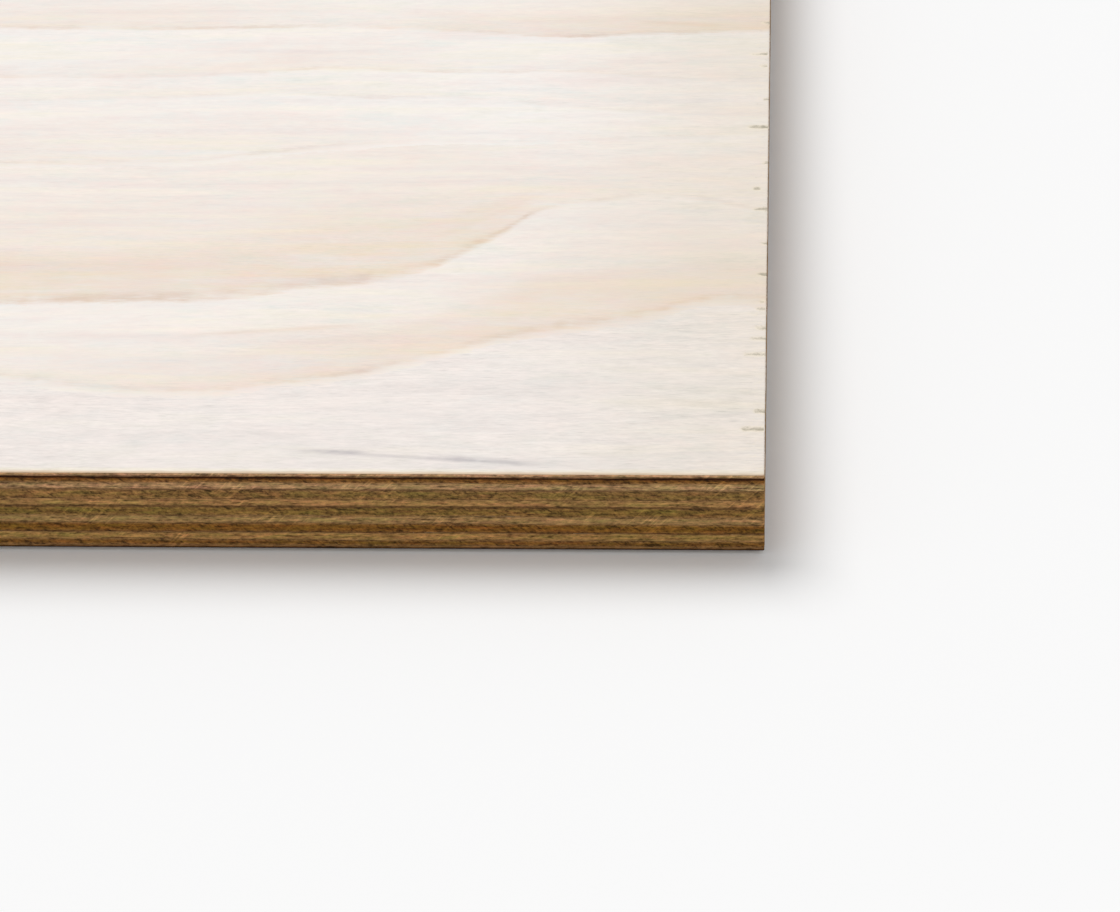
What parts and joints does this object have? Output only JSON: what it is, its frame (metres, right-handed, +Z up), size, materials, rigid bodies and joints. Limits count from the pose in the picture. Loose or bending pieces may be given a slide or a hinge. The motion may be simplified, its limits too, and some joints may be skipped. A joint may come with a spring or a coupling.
{
  "type": "plywood sheet",
  "caption": "Flat rectangular sheet of wood veneers glued crosswise, with a pale birch face and striped sawn edges, laid or fixed as board in building and joinery.",
  "frame": {"origin": "middle of the back, on the floor that the sheet lies on", "axes": "+X along the sheet's length and the grain of its face, +Y across the sheet, away from the long edge seen in the picture, +Z up through the thickness, towards the face"},
  "size_m": [2.44, 1.22, 0.018],
  "materials": {
    "outer_birch_veneer": "sanded and bare, pale rotary-cut birch with faint growth rings",
    "long_grain_ply": "sawn edge, light, with fibres along the long edges",
    "cross_grain_ply": "sawn edge, dark end grain on the long edges"
  },
  "bodies": {
    "root": {"back_veneer": "outer_birch_veneer", "back_crossband": "cross_grain_ply", "core_ply_1": "long_grain_ply", "core_ply_2": "cross_grain_ply", "core_ply_3": "long_grain_ply", "core_ply_4": "cross_grain_ply", "core_ply_5": "long_grain_ply", "core_ply_6": "cross_grain_ply", "core_ply_7": "long_grain_ply", "face_crossband": "cross_grain_ply", "face_veneer": "outer_birch_veneer"}
  },
  "joints": []
}
